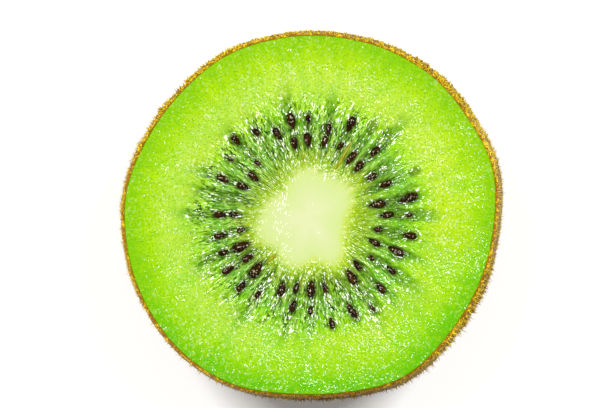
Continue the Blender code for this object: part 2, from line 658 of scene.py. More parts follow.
def mottle_group(name):
    """Uneven colour: large soft patches and small specks between a base and a second colour."""
    inputs = {
        "Place": "Vector",
        "Base": "Color",
        "Patch": "Color",
        "Patch Size": 0.004,
        "Speck Size": 0.0006,
        "Amount": 0.5,
    }
    group = Group(name, "ShaderNodeTree", inputs, {"Color": "Color", "Specks": "Float"})
    patches = group.noise(group["Place"], 1.0 / group["Patch Size"], 3.0)
    specks = group.noise(group["Place"], 1.0 / group["Speck Size"], 2.0, 0.7)
    mask = (patches * 0.6 + specks * 0.4).smooth(0.35, 0.7) * group["Amount"]
    return group.close(Color=group.blend(mask, group["Base"], group["Patch"]), Specks=specks)


# ---------------- materials


def flesh_material(looks):
    """Wet translucent flesh: pale core, dark pockets between pale rays, brighter outer flesh, with
    painted shade on the lower and left sides and pale strokes painted as highlights.
    """
    paint = Paint("kiwi_flesh", looks)
    place = paint.place
    x, y, _ = place.parts()
    centre = face_centre()
    _, east, north = compass(x - centre[0], y - centre[1])
    share = paint.read("share")
    pocket = paint.read("pocket")
    core = paint.read("core")
    outside = 1.0 - core

    # Rays run outwards: the noise is stretched along the radius and wraps round the face
    spot = (east, north, share)
    rays = ray_noise(spot, 20.0, 6.0, 3.0, 0.6)
    fibres = ray_noise(spot, 52.0, 36.0, 1.0)
    spokes = ray_noise(spot, 7.0, 2.0)
    cells = paint.noise(place, CELLS, 3.0, 0.75)
    patches = paint.noise(place, FLESH_PATCHES)

    stops = {
        0.04: "core",
        0.19: "core_pale",
        0.245: "core_fade",
        0.285: "core_edge",
        0.34: "inner_ray",
        0.41: "ray",
        0.50: "outer_ray",
        0.58: "ring_end",
        0.68: "flesh",
        0.75: "pale_flesh",
        0.85: "outer",
        0.965: "rim",
    }
    level = paint.read("level") + ((rays - 0.5) * 0.07 + (fibres - 0.5) * 0.05) * outside
    paint.ramp(level, stops)
    ring = level.smooth(0.26, 0.36) * level.fading(0.54, 0.72)

    # Painted shade: the lower and left sides, and the flesh under the skin on the lower right, are
    # painted darker and greener, as if lit from above; random patches and spokes add their own green
    # too
    low_side_shade = (0.0 - north * share).smooth(-0.2, 1.0) * outside
    left_side_shade = (0.0 - east * share).smooth(0.5, 1.0) * outside
    green = (patches * 0.6 + spokes * 0.4).smooth(0.45, 0.65) * outside * 0.3
    under_skin_shade = (east * 0.26 - north * 0.97).smooth(0.1, 0.9) * share.smooth(0.84, 0.99)
    green = green + low_side_shade * 0.5 + left_side_shade * 0.15 + under_skin_shade * 0.5
    paint.lay(green, "green", "MULTIPLY")
    warm_side = (east * 0.75 - north * 0.66).smooth(0.0, 0.8) * outside
    paint.lay(warm_side, WARM_TINT, "MULTIPLY")
    spoke = spokes.smooth(0.52, 0.68) * share.smooth(0.5, 0.62) * share.fading(0.7, 0.9)
    paint.lay(spoke * 0.3, "ray")
    finger = paint.read("finger") * spokes.smooth(0.3, 0.55)
    paint.lay(finger * 0.65, "finger")

    # Dark gel in the pockets, and dark and pale threads that run out over the ring
    dark = rays.smooth(0.53, 0.62) * ring * 0.6 + pocket
    dark = dark * waves(north.math("ARCTAN2", east), RING_SHADE)
    paint.lay(dark * looks.pocket_strength, "pocket")
    lively = ring * (1.0 - east.smooth(0.3, 0.9) * 0.6) * (0.5 + cluster(spot) * 0.6)
    lines = fibres.smooth(0.48, 0.41) * lively * (pocket * 0.4 + 0.95)
    paint.lay(lines, "line")
    paint.lay(fibres.smooth(0.53, 0.61) * lively * 0.8, "fibre")

    # Painted highlights: pale strokes in patches stand for the small glints of wet cells
    patchy = paint.noise(place, STROKE_PATCHES).smooth(0.25, 0.6) * outside
    patchy = patchy * (1.0 - share.smooth(0.72, 0.93) * 0.62) * (1.0 - ring * 0.8)
    strokes = (paint.noise(place, GLINT_STROKES, 0.0) - 0.5).math("ABSOLUTE").smooth(0.09, 0.03)
    broken = paint.noise(place, GLINT_STROKE_GAPS, 1.0).smooth(0.49, 0.56)
    paint.lay(strokes * broken * patchy, "stroke")
    flecks = cells.smooth(0.53, 0.62) * outside * (1.0 - ring * 0.5)
    paint.lay(flecks * (patchy * 0.3 + 0.45), "fleck")
    paint.lay(rays.smooth(0.4, 0.65) * outside * 0.14, "deep")
    deep = paint.noise(place, DEEP_CELLS, 2.0, 0.7).smooth(0.47, 0.38) * outside
    paint.lay(deep * 0.65, "deep")
    paint.lay(paint.read("near_seed") * 0.6, "seed_shade")

    # Drops and ridges of juice catch the light one by one, most of them on the lower right side
    wetter = ((east * 0.7 - north * 0.7) * share).smooth(-0.9, 0.9)
    wet = (paint.noise(place, WET_PATCHES) - wetter * 0.14 + 0.13).smooth(0.62, 0.3)
    wet = wet * (1.0 - share.smooth(0.78, 0.96) * 0.6)
    facets = paint.noise(place, FACETS, 0.0)
    drops = facets.smooth(0.5, 0.78) * wet * outside * (1.0 - ring * 0.5)
    low = paint.bump(drops + (facets - 0.5) * (core * 0.15 + 0.06), 0.00005)
    ridges = ray_noise(spot, 56.0, 30.0, 0.0).smooth(0.42, 0.8)
    ridges = ridges * lively * 1.6 + (fibres - 0.5) * ring * 0.1
    return paint.finish(
        Roughness=cells.scaled(0.3, 0.7, 0.08, 0.13),
        Normal=paint.bump(ridges, 0.00005, Normal=low),
        Subsurface_Weight=0.08,
        Subsurface_Radius=(0.6, 1.0, 0.25),
        Subsurface_Scale=0.0005,
        IOR=1.30,
    )


def skin_material(looks):
    """Dull brown peel under a mat of flat golden hairs, with a dark line where the knife went and
    painted shade on one side.
    """
    paint = Paint("kiwi_skin", looks)
    specks = paint.mottle("skin", "skin_dark", 0.004, 0.0004, 0.9)
    scar = paint.read("scar")
    x, y, z = paint.place.parts()
    across, along = PEEL_STREAKS
    streaks = paint.vector(x * across, y * across, z * along)
    strokes = paint.noise(streaks, 1.0, 2.0, 0.6)
    near_rim = z.smooth(HEIGHT - 0.0022, HEIGHT - 0.0003)
    matted = strokes.smooth(0.48, 0.64) * (near_rim * 0.4 + 0.4) * (1.0 - scar)
    paint.lay(near_rim * 0.7, "cut_edge")
    paint.lay(matted, paint.blend(near_rim, "fuzz_low", "fuzz"))
    line = paint.noise(paint.place, CUT_LINE, 1.0).smooth(0.35, 0.6) * 0.7 + 0.3
    paint.lay(paint.read("cut_edge") * line, "cut_edge")
    # Painted shade: the peel on the side towards SHADED_TOWARDS is multiplied darker
    paint.lay(paint.side(SHADED_TOWARDS, 0.75) * 0.9, SHADED_TINT, "MULTIPLY")
    paint.lay(scar, "scar")
    return paint.finish(
        Roughness=specks.scaled(0.3, 0.7, 0.55, 0.8),
        Normal=paint.bump(strokes + specks * 0.8, 0.00008),
        Specular_IOR_Level=0.12,
    )


def fuzz_material(looks):
    """Golden-brown hairs, each a little lighter or darker, paler towards the tip, with painted light on
    two sides and painted shade on one.
    """
    paint = Paint("kiwi_fuzz", looks)
    tone = paint.read("tone")
    _, _, z = paint.place.parts()
    low = z.smooth(HEIGHT - 0.0018, HEIGHT - 0.0085)
    paint.colour = paint.blend(tone.smooth(0.3, 0.65), "fuzz_dark", "fuzz")
    low_colour = paint.blend(tone.smooth(0.3, 0.8), "skin", "fuzz_low")
    paint.lay(low * 0.85, low_colour)
    paint.lay(paint.read("along") * 0.4, "fuzz_tip")
    # Painted light: the hairs on the sides towards LIT_TOWARDS and ALSO_LIT_TOWARDS are painted paler
    # with the tip colour
    lit = paint.side(LIT_TOWARDS, 0.5) + paint.side(ALSO_LIT_TOWARDS, 0.9) * 2.0
    paint.lay(lit * (1.0 - low * 0.85) * 0.4, "fuzz_tip")
    # Painted shade: the hairs on the side towards SHADED_TOWARDS are painted darker
    paint.lay(paint.side(SHADED_TOWARDS, 0.75) * 0.9, "fuzz_shade")
    return paint.finish(Roughness=tone.scaled(0.0, 1.0, 0.5, 0.7), Specular_IOR_Level=0.08)


def seed_material(looks):
    """Wet dark seed coat: brown-black, finely pitted, with pale specks painted on as highlights."""
    paint = Paint("kiwi_seed", looks)
    specks = paint.mottle("seed", "seed_light", 0.0007, 0.00022, 0.5)
    # Painted highlights: pale glints laid into the coat's colour
    glints = paint.noise(paint.place, SEED_GLINTS, 0.0).smooth(0.69, 0.74)
    paint.lay(glints * 0.7, "seed_glint")
    pits = paint.add("ShaderNodeTexVoronoi", Vector=paint.place, Scale=SEED_PITS)
    return paint.finish(
        Roughness=specks.scaled(0.3, 0.7, 0.07, 0.15),
        Normal=paint.bump(pits, 0.00005),
        IOR=1.24,
    )


def juice_glint_material(looks):
    """Beads and threads of juice that stand on the cut, coloured near-white as painted highlights."""
    paint = Paint("kiwi_juice", looks)
    # Painted highlights: the beads' near-white colour, paler in places
    tone = paint.noise(paint.place, JUICE_GLINT_TONE, 1.0)
    pale = tone.smooth(0.35, 0.65)
    paint.colour = paint.blend(pale, "juice", "juice_pale")
    return paint.finish(Roughness=tone.scaled(0.3, 0.7, 0.05, 0.15), IOR=1.36)


def strand_material(looks):
    """Golden-orange threads that run from the core to the seeds."""
    paint = Paint("kiwi_strand", looks)
    tone = paint.noise(paint.place, STRAND_TONE)
    pale = tone.smooth(0.35, 0.65)
    paint.colour = paint.blend(pale, "strand", "strand_pale")
    return paint.finish(Roughness=tone.scaled(0.3, 0.7, 0.2, 0.4), Specular_IOR_Level=0.2)


def floor_material(studio):
    """Plain pale matt card."""
    paint = Paint("studio_floor", studio)
    grain = paint.noise(paint.place, CARD_GRAIN)
    darker = [CARD_TINT * v for v in studio.floor_colour]
    paint.colour = paint.blend(grain, "floor", darker)
    return paint.finish(Roughness=0.85, Specular_IOR_Level=0.2, Emission_Strength=0.03)


# ---------------- geometry trees


def flesh_tree():
    """Relief of the cut face, and the masks that its colours follow."""
    inputs = {
        "Seeds": "Object",
        "Radius": FACE_RADIUS,
        "Height": HEIGHT,
        "Pockets": POCKETS,
        "Pocket Depth": 0.00035,
        "Core Rise": 0.00025,
        "Core Size": CORE_SHARE,
        "Fibre Height": 0.00012,
        "Cell Height": 0.00004,
        "Seed Mound": 0.00012,
        "Seed": 0,
    }
    tree = Growth("Kiwi Flesh", inputs)
    x, y, z = tree.position.parts()
    radius, east, north = compass(x, y)
    share = radius / tree["Radius"]
    spot = (east, north, share)
    angle = y.math("ARCTAN2", x)

    # The ring of pockets, each with its own place, width and reach
    turns = angle / TAU * tree["Pockets"]
    nearest = turns.math("ROUND")
    number = nearest.math("FLOORED_MODULO", tree["Pockets"])
    pocket = tree.use("Kiwi Pocket", pocket_group, Pocket=number, Seed=tree["Seed"])
    wobble = (ray_noise(spot, 9.0, 14.0) - 0.5) * 0.5
    phase = (turns - nearest - pocket + wobble).math("ABSOLUTE")
    start = pocket.output("Start")
    way = (share - start) / (pocket.output("Reach") - start)
    swell = way.smooth(-0.1, 0.35) * (1.0 - way.smooth(0.5, 1.1) * 0.5)
    width = pocket.output("Width")
    hollow = (phase / (width * swell + 0.0001)).fading(0.4, 1.25)
    hollow = hollow * way.smooth(0.0, 0.3) * way.fading(0.45, 1.0)

    # Outside the seeds a pocket runs on as a soft green finger
    finger = (phase / width).fading(0.35, 1.2) * way.smooth(0.35, 0.75) * way.fading(0.72, 1.12)

    # The core, with its own outline and a frayed edge
    frayed = (ray_noise(spot, 16.0, 10.0, 3.0) - 0.5) * 0.06 * share.smooth(0.08, 0.2)
    core_edge = waves(angle, CORE_WAVES) * tree["Core Size"]
    from_core = share - core_edge + frayed
    core = from_core.fading(-0.045, 0.03)
    level = share + (tree["Core Size"] - core_edge + frayed) * share.fading(0.3, 0.6)
    past_core = from_core.smooth(0.0, 0.08)
    hollow = hollow * past_core

    # Heights over the flat of the cut, kept until the section has been pressed into shape
    ring = past_core * share.fading(0.5, 0.72)
    fibres = (ray_noise(spot, 38.0, 16.0) - 0.5) * ring * tree["Fibre Height"] * 2.0
    cells = (tree.noise(tree.position, CELL_RELIEF, 1.0) - 0.5) * tree["Cell Height"] * 2.0
    cells = cells * (1.0 - core * 0.9)
    face = z.math("GREATER_THAN", tree["Height"] - NEARLY_NOTHING)
    height = core * tree["Core Rise"] - hollow * tree["Pocket Depth"] + fibres + cells
    kept = tree.store(
        tree["Geometry"],
        share=share,
        level=level,
        pocket=hollow * face,
        finger=finger * face,
        core=core * face,
        from_core=from_core,
        face=face,
        height=height * face * share.fading(0.88, 0.98),
    )

    # The gel mounds a little over each seed
    seeds = tree.add("GeometryNodeObjectInfo", Object=tree["Seeds"]).output("Geometry")
    nearby = tree.add("GeometryNodeProximity", Geometry=seeds).output("Distance")
    near = nearby.fading(0.00005, 0.0005)
    kept = tree.store(tree.press(kept), near_seed=near)
    lift = tree.read("height") + near * tree["Seed Mound"] * tree.read("face")
    return tree.grow(tree.move(kept, Offset=tree.vector(0.0, 0.0, lift)))


def skin_tree():
    """Small dents and grains of the peel, and the masks of its cut edge and stem scar."""
    tree = Growth("Kiwi Skin", {"Height": HEIGHT, "Unevenness": 0.00010, "Grain": 0.00003})
    normal = tree.add("GeometryNodeInputNormal")
    x, y, z = tree.position.parts()
    outwards = normal.math("DOT_PRODUCT", tree.vector(x, y, 0.0))
    dents = (tree.noise(tree.position, PEEL_DENTS, 1.0) - 0.5) * tree["Unevenness"] * 2.0
    grains = (tree.noise(tree.position, PEEL_GRAIN, 1.0) - 0.5) * tree["Grain"] * 2.0
    kept = tree.store(
        tree["Geometry"],
        outside=outwards.math("GREATER_THAN", 0.0),
        cut_edge=(z - tree["Height"]).smooth(-0.00012, -0.00004),
        scar=distance(x, y).fading(0.0022, 0.0032) * z.fading(0.001, 0.0014),
        depth=(dents + grains) * z.smooth(0.0, 0.0012),
    )
    return tree.grow(tree.press(tree.move(kept, Offset=normal * tree.read("depth"))))


def seed_tree():
    """Two places for a seed in each pocket, most of them filled, each seed a flattened drop."""
    inputs = {
        "Radius": FACE_RADIUS,
        "Height": HEIGHT,
        "Pockets": POCKETS,
        "Length": 0.0024,
        "Width": 0.00145,
        "Thickness": 0.00095,
        "Filled": 0.84,
        "Sunk": 0.00055,
        "Seed": 0,
        "Ring Seed": 0,
    }
    tree = Growth("Kiwi Seeds", inputs)
    line = tree.add("GeometryNodeMeshLine", Count=tree["Pockets"] * 2)
    number = (tree.index() / 2).math("FLOOR")
    outer = tree.index() - number * 2
    pocket = tree.use("Kiwi Pocket", pocket_group, Pocket=number, Seed=tree["Ring Seed"])
    angle = (number + pocket + tree.draw(-0.07, 0.07, 1)) * TAU / tree["Pockets"]
    inner_share = tree.draw(0.355, 0.43, 2)
    share = inner_share + (tree.draw(0.475, 0.60, 3) - inner_share) * outer
    out = share * tree["Radius"]
    height = tree["Height"] + tree.draw(-1.0, 0.1, 4) * tree["Sunk"]
    spot = tree.vector(angle.math("COSINE") * out, angle.math("SINE") * out, height)

    # One seed: a ball drawn out along X, narrow at the end that points to the core
    ball = tree.add("GeometryNodeMeshUVSphere", Segments=20, Rings=14, Radius=1.0)
    x, y, z = tree.position.parts()
    body = 1.0 + z * 0.26
    drop = tree.vector(
        (z - (0.0 - z).math("MAXIMUM", 0.0) ** 4 * 0.12) * tree["Length"] * 0.5,
        x * body * tree["Width"] * 0.5,
        y * body * tree["Thickness"] * 0.5,
    )
    size = 0.78 + tree.draw(0.0, 1.0, 6) ** 3.0 * 0.52
    turn = (tree.draw(-0.35, 0.35, 7), tree.draw(-0.16, 0.16, 8), angle + tree.draw(-0.2, 0.2, 9))
    instances = tree.add(
        "GeometryNodeInstanceOnPoints",
        Points=tree.press(tree.move(line, Position=spot)),
        Selection=tree.draw(0.0, 1.0, 5).math("LESS_THAN", tree["Filled"]),
        Instance=tree.smoothed(tree.move(ball, Position=drop)),
        Rotation=tree.vector(*turn),
        Scale=tree.vector(size, size * tree.draw(0.84, 1.08, 10), size),
    )
    return tree.grow(instances)


def hair_tree():
    """Tapered, bent hairs on the outside of the skin, leaning together in small tufts."""
    inputs = {
        "Density": DOWN_DENSITY,
        "Length": 0.0006,
        "Thickness": 0.00005,
        "Segments": 3,
        "Upright": 0.1,
        "Spread": 0.5,
        "Tufting": 0.8,
        "Curl": 0.5,
        "Low Share": 0.35,
        "Lip Share": 3.0,
        "Outward": 0.12,
        "Lowest": 0.0009,
        "Highest": HEIGHT + 0.0003,
        "Full From": 0.026,
        "Seed": 0,
    }
    tree = Growth("Kiwi Hairs", inputs)
    x, y, z = tree.position.parts()
    fuller = z.smooth(tree["Full From"] - 0.008, tree["Full From"])
    share = tree["Low Share"] + (1.0 - tree["Low Share"]) * fuller
    share = share + (z - HEIGHT).smooth(-0.0004, -0.0003) * tree["Lip Share"]
    chosen = tree.read("outside") * z.math("GREATER_THAN", tree["Lowest"])
    scattered = tree.scatter(chosen, tree["Density"] * share)
    points = tree.store(scattered, tone=tree.draw(0.0, 1.0, 1), root=tree.position)

    # Which way a hair leans: with its tuft, its own way, off the skin and outwards
    tuft = tree.noise(tree.position, TUFTS, 1.0).output("Color") - MIDDLE
    tuft = tuft * (tree["Tufting"] * 3.0)
    stray = tree.draw((-1.0, -1.0, -1.0), (1.0, 1.0, 1.0), 2, "FLOAT_VECTOR") * tree["Spread"]
    upright = scattered.output("Normal") * tree["Upright"]
    flat = (tree.position * (1.0, 1.0, 0.0)).math("NORMALIZE")
    angle = y.math("ARCTAN2", x)
    diagonal = (angle * 2.0).math("SINE").math("ABSOLUTE").smooth(0.6, 0.85)
    combed = (angle - math.radians(COMBED_TOWARDS)).math("COSINE").smooth(0.3, 0.9)
    wild = tree.draw(0.0, 1.0, 5) ** 10.0 * diagonal * (1.0 - combed * 0.9)
    lean = upright + (tuft + stray) + flat * (tree["Outward"] + wild * 2.0)

    # A hair is a thin cone, longer on some sides of the fruit than on others
    longer = waves(angle, FUZZ_WAVES).math("MAXIMUM", SHORTEST_FUZZ)
    sideways = angle.math("COSINE").math("ABSOLUTE")
    size = tree.draw(0.5, 1.0, 3) * longer + wild * 0.9
    size = size * (1.0 - sideways.smooth(*TRIMMED_FROM) * TRIMMED)
    cone = tree.add(
        "GeometryNodeMeshCone",
        Vertices=3,
        Side_Segments=tree["Segments"],
        Radius_Top=0.0,
        Radius_Bottom=tree["Thickness"] * 0.5,
        Depth=tree["Length"],
        fill_type="NGON",
    )
    instances = tree.add(
        "GeometryNodeInstanceOnPoints",
        Points=points,
        Instance=tree.smoothed(tree.store(cone, along=z / tree["Length"])),
        Rotation=tree.add("FunctionNodeAlignRotationToVector", Vector=lean, axis="Z"),
        Scale=size,
    )
    plain = tree.add("GeometryNodeRealizeInstances", instances)

    # Each hair bends its own way, and none goes under the resting surface
    root = tree.read("root", "FLOAT_VECTOR")
    sway = tree.noise(root, HAIR_SWAY, 0.0).output("Color") - MIDDLE
    along = tree.read("along")
    bend = along * along * tree["Length"] * tree["Curl"] * 4.0
    x, y, z = (tree.position + sway * bend).parts()
    held = z.math("MAXIMUM", LOWEST_HAIR).math("MINIMUM", tree["Highest"])
    return tree.grow(tree.move(plain, Position=tree.vector(x, y, held)))


def juice_glint_tree():
    """Low beads and threads of juice on the cut face, in line with the rays inside the ring."""
    sizes = {"Length": 0.00048, "Width": 0.00015, "Height": 0.00011}
    tree = Growth("Kiwi Juice", {"Density": BEAD_DENSITY, **sizes, "Seed": 0})
    centre = face_centre()
    x, y, _ = tree.position.parts()
    far = distance(x, y)
    share = tree.read("share")
    core = tree.read("core")
    ring = tree.read("from_core").smooth(0.0, 0.05) * share.fading(0.55, 0.7)

    # How often a bead stands here: on the crease and the edge of the core, in the ring, outside it
    crease = (x - (centre[0] + CREASE)).math("ABSOLUTE").fading(0.0004, 0.0017) * core
    fringe = core * (1.0 - core) * ((y * 0.8 - x * 0.6) / far).smooth(-0.1, 0.7) * 4.0
    clouds = tree.noise(tree.position, BEAD_CLOUDS).smooth(0.42, 0.68)
    wetter = (x * 0.5 - y).smooth(-0.012, 0.02)
    calm = (x / far).smooth(0.3, 0.9)
    facing = (y / far).math("ABSOLUTE").smooth(0.5, 0.95)
    crowded = cluster(((x - centre[0]) / far, (y - centre[1]) / far, share))
    inside = ring * (1.0 - calm * 0.85 + facing * 0.3) * (0.45 + tree.read("pocket"))
    inside = inside * (0.25 + crowded * 1.3)
    calm = calm * share.fading(0.65, 0.8)
    outer = (0.3 + wetter * 2.0) * (0.3 + clouds) * (1.0 - calm * 0.7)
    outer = outer * (1.0 - share.smooth(0.8, 0.97) * 0.5)
    often = inside + (1.0 - ring) * outer
    often = often * (1.0 - core * 0.97) + crease * 2.5 + fringe * 1.6
    chosen = tree.read("face") * share.math("LESS_THAN", WET_EDGE)
    scattered = tree.scatter(chosen, tree["Density"] * often)

    # In the ring a bead is long and in line with the rays, on the core's crease it lies along Y
    upright = (crease + fringe).math("MINIMUM", 1.0)
    outwards = (y - centre[1]).math("ARCTAN2", x - centre[0])
    loose = tree.draw(-1.6, 1.6, 1) * (1.0 - ring * 0.86)
    heading = (outwards + loose) * (1.0 - upright) + (loose * 0.2 + TAU / 4) * upright
    longer = tree.draw(0.3, 1.0, 2)
    longer = longer * longer * (0.6 + ring * 1.05 + upright * 0.7)
    slim = 0.62 + ring * 0.26 + upright * 0.15
    size = tree.vector(
        longer * tree["Length"] + tree["Width"] * slim,
        tree["Width"] * tree.draw(0.6, 1.2, 3) * slim,
        tree["Height"],
    )
    ball = tree.add("GeometryNodeMeshUVSphere", Segments=6, Rings=3, Radius=0.5)
    instances = tree.add(
        "GeometryNodeInstanceOnPoints",
        Points=scattered,
        Instance=tree.smoothed(ball),
        Rotation=tree.vector(0.0, 0.0, heading),
        Scale=size,
    )
    return tree.grow(instances)


def strand_tree():
    """Thin uneven tubes round the edges they are given, thinner at both ends."""
    tree = Growth("Kiwi Strands", {"Flesh": "Object", "Thickness": 0.00034, "Wander": 0.0007})
    line = tree.add("GeometryNodeMeshToCurve", Mesh=tree["Geometry"])
    fine = tree.add("GeometryNodeResampleCurve", Curve=line, Count=STRAND_STEPS)
    drift = tree.noise(tree.position, STRAND_DRIFT).output("Color") - MIDDLE
    offset = drift * (1.0, 1.0, 0.15) * tree["Wander"]
    flesh = tree.add("GeometryNodeObjectInfo", Object=tree["Flesh"]).output("Geometry")
    landed = tree.add(
        "GeometryNodeRaycast",
        Target_Geometry=flesh,
        Source_Position=tree.position + (0.0, 0.0, 0.001),
        Ray_Direction=(0.0, 0.0, -1.0),
    ).output("Hit Position")
    laid = tree.move(tree.move(fine, Offset=offset), Position=landed)
    taper = (tree.add("GeometryNodeSplineParameter") * math.pi).math("SINE") ** 0.6 + 0.08
    tube = tree.add(
        "GeometryNodeCurveToMesh",
        Curve=laid,
        Profile_Curve=tree.add("GeometryNodeCurvePrimitiveCircle", Resolution=8, Radius=0.5),
        Scale=taper * tree["Thickness"] * tree.read("width"),
        Fill_Caps=True,
    )
    return tree.grow(tree.smoothed(tube))


# ---------------- what a user can change


def length_value(name, description, default):
    return bpy.props.FloatProperty(
        name=name,
        description=description,
        default=default,
        min=0.0,
        subtype="DISTANCE",
        unit="LENGTH",
        precision=5,
    )


def share_value(name, description, default):
    return bpy.props.FloatProperty(
        name=name, description=description, default=default, min=0.0, max=1.0, subtype="FACTOR"
    )


def tint_value(name, description, default):
    return bpy.props.FloatVectorProperty(
        name=name, description=description, default=default, min=0.0, max=1.0, subtype="COLOR"
    )


def colour_value(name, description, *seen):
    """A colour by how it looks: red, green and blue up to 255, and the light on it if not all."""
    return tint_value(name, description, from_srgb(*seen))


def count_value(name, description, default):
    return bpy.props.IntProperty(name=name, description=description, default=default, min=0)


class KiwiFlesh(bpy.types.PropertyGroup):
    """The cut face."""

    pocket_depth: length_value("Pocket Depth", "How far a seed pocket dips", 0.00035)
    core_rise: length_value("Core Rise", "How far the core stands proud", 0.00004)
    fibre_height: length_value("Fibre Height", "Height of the fine rays of the ring", 0.00014)
    cell_height: length_value("Cell Height", "Height of the fine grain of the flesh", 0.00005)
    ring_seed: count_value("Ring Seed", "Which arrangement of pockets is drawn", 3)
    pocket_strength: share_value("Pocket Strength", "How dark the pockets are", 0.9)
    core_colour: colour_value("Core", "The pale middle", 248, 255, 196)
    core_pale_colour: colour_value("Core Outwards", "The core half way out", 235, 253, 168)
    core_fade_colour: colour_value("Core Fade", "The outer part of the core", 236, 252, 151)
    core_edge_colour: colour_value("Core Edge", "Where the core meets the ring", 175, 207, 0)
    inner_ray_colour: colour_value("Inner Rays", "The walls at the core", 166, 199, 0)
    ray_colour: colour_value("Rays", "The walls between the pockets", 172, 233, 79)
    outer_ray_colour: colour_value("Outer Rays", "The walls outside the seeds", 123, 207, 48)
    ring_end_colour: colour_value("Ring End", "Where the ring gives way", 186, 255, 0)
    pocket_colour: colour_value("Pockets", "The dark gel round the seeds", 58, 110, 22)
    finger_colour: colour_value("Fingers", "The green outer ends of the pockets", 84, 176, 28)
    line_colour: colour_value("Dark Lines", "The gaps between the threads", 18, 56, 0)
    fibre_colour: colour_value("Fibres", "The palest threads", 212, 242, 120)
    fleck_colour: colour_value("Flecks", "The paler cells of the outer flesh", 214, 248, 0)
    # Painted highlights: short pale strokes that stand for the glints of wet cells
    stroke_colour: colour_value("Strokes", "Short pale lines of wet cells", 238, 253, 176, 1.8)
    deep_colour: colour_value("Deep Cells", "The darker cells of the flesh", 118, 198, 0)
    flesh_colour: colour_value("Flesh", "Just outside the ring", 216, 255, 75)
    pale_flesh_colour: colour_value("Pale Flesh", "The palest part of it", 216, 255, 80)
    outer_colour: colour_value("Outer Flesh", "Towards the skin", 197, 248, 5)
    rim_colour: colour_value("Rim", "Under the skin", 157, 226, 0)
    # Painted shade: this tint is multiplied over the lower and left sides of the flesh, and over random
    # green patches
    green_colour: tint_value("Greener Tint", "Laid over the shaded flesh", (0.42, 0.86, 0.55))
    seed_shade_colour: colour_value("Seed Shade", "The gel right beside a seed", 40, 62, 14)


class KiwiSkin(bpy.types.PropertyGroup):
    """The peel and its hairs."""

    thickness: length_value("Thickness", "Thickness of the peel", 0.00028)
    unevenness: length_value("Unevenness", "Height of the peel's dents", 0.00010)
    hair_thickness: length_value("Hair Thickness", "Thickness of a hair at its root", 0.00014)
    down_length: length_value("Down Length", "Length of the short hairs", 0.00040)
    bristle_length: length_value("Bristle Length", "Length of the long hairs", 0.00066)
    skin_colour: colour_value("Skin", "The peel", 122, 90, 52, 1.1)
    skin_dark_colour: colour_value("Skin Patches", "Darker, greener patches", 88, 66, 28, 1.1)
    cut_edge_colour: colour_value("Cut Edge", "Where the knife went through", 150, 92, 0, 1.2)
    scar_colour: colour_value("Scar", "The woody scar of the stem", 74, 54, 36)
    fuzz_colour: colour_value("Fuzz", "A light hair", 242, 212, 20, 1.0)
    fuzz_dark_colour: colour_value("Fuzz Dark", "A dark hair", 124, 84, 0, 1.0)
    fuzz_shade_colour: colour_value("Fuzz Shade", "The hairs of the shaded side", 126, 90, 12, 1.0)
    fuzz_low_colour: colour_value("Fuzz Below", "The hairs down the side", 186, 146, 82, 1.0)
    fuzz_tip_colour: colour_value("Fuzz Tips", "The ends of the hairs", 252, 226, 70, 1.0)


class KiwiSeeds(bpy.types.PropertyGroup):
    """The seeds, the juice and the strands."""

    length: length_value("Length", "Length of a seed", 0.00210)
    width: length_value("Width", "Width of a seed", 0.00114)
    thickness: length_value("Thickness", "Thickness of a seed", 0.00090)
    scatter_seed: count_value("Scatter Seed", "Which scatter of seeds is drawn", 5)
    filled: share_value("Filled", "How many of the places hold a seed", 0.84)
    seed_colour: colour_value("Seed", "The seed coat", 14, 7, 0)
    seed_light_colour: colour_value("Seed Light", "Lighter patches of the coat", 108, 64, 8)
    # Painted highlights: the pale specks are glints painted onto the seed coat
    seed_glint_colour: colour_value("Seed Specks", "Pale specks of gel on a seed", 228, 222, 176)
    # Painted highlights: the beads are near-white so that they show as glints
    juice_colour: colour_value("Juice", "A bead of juice", 246, 254, 226, 1.2)
    juice_pale_colour: colour_value("Juice Pale", "The palest beads", 255, 255, 252, 1.05)
    strand_colour: colour_value("Strands", "Threads from the core", 160, 146, 0, 1.6)
    strand_pale_colour: colour_value("Strands Pale", "Their lighter parts", 168, 180, 0, 1.6)


class KiwiStudio(bpy.types.PropertyGroup):
    """Floor, lights and camera."""

    floor_size: length_value("Floor Size", "Side of the square floor", 6.0)
    floor_colour: tint_value("Floor", "The pale card", (0.99, 0.99, 0.99))
    camera_distance: length_value("Camera Distance", "From the cut face to the camera", 0.8)
    frame_width: length_value("Frame Width", "What the image spans at the cut face", 0.0834)
    camera_lean: bpy.props.FloatProperty(
        name="Camera Lean",
        description="How far the view is off the square, towards +X",
        default=math.radians(-0.6),
        subtype="ANGLE",
    )
    key_power: bpy.props.FloatProperty(
        name="Softbox Power", description="Power of each softbox", default=12.3, unit="POWER"
    )
    world_strength: bpy.props.FloatProperty(
        name="Surroundings", description="Brightness of the studio round it", default=0.3
    )


# ---------------- one operator for each piece


def grown(name, tree, start, **settings):
    """Runs a geometry tree on a start mesh, and gives back a plain object with the result."""
    worker = added(name + "_worker", start)
    modifier = worker.modifiers.new(tree.name, "NODES")
    modifier.node_group = tree
    sockets = tree.interface.items_tree
    named = {s.name: s.identifier for s in sockets if s.in_out == "INPUT"}
    for title, value in settings.items():
        modifier[named[title.replace("_", " ")]] = value
    graph = bpy.context.evaluated_depsgraph_get()
    mesh = bpy.data.meshes.new_from_object(
        worker.evaluated_get(graph), preserve_all_data_layers=True, depsgraph=graph
    )
    bpy.data.objects.remove(worker, do_unlink=True)
    if not mesh.polygons:
        raise RuntimeError(f"{name} came out empty")
    mesh.name = name
    return added(name, mesh)


def keep_edges(piece):
    """Shades a piece smooth, but for its sharp edges."""
    piece.data.shade_smooth()
    piece.data.set_sharp_from_angle(angle=math.radians(SHARP_FROM))


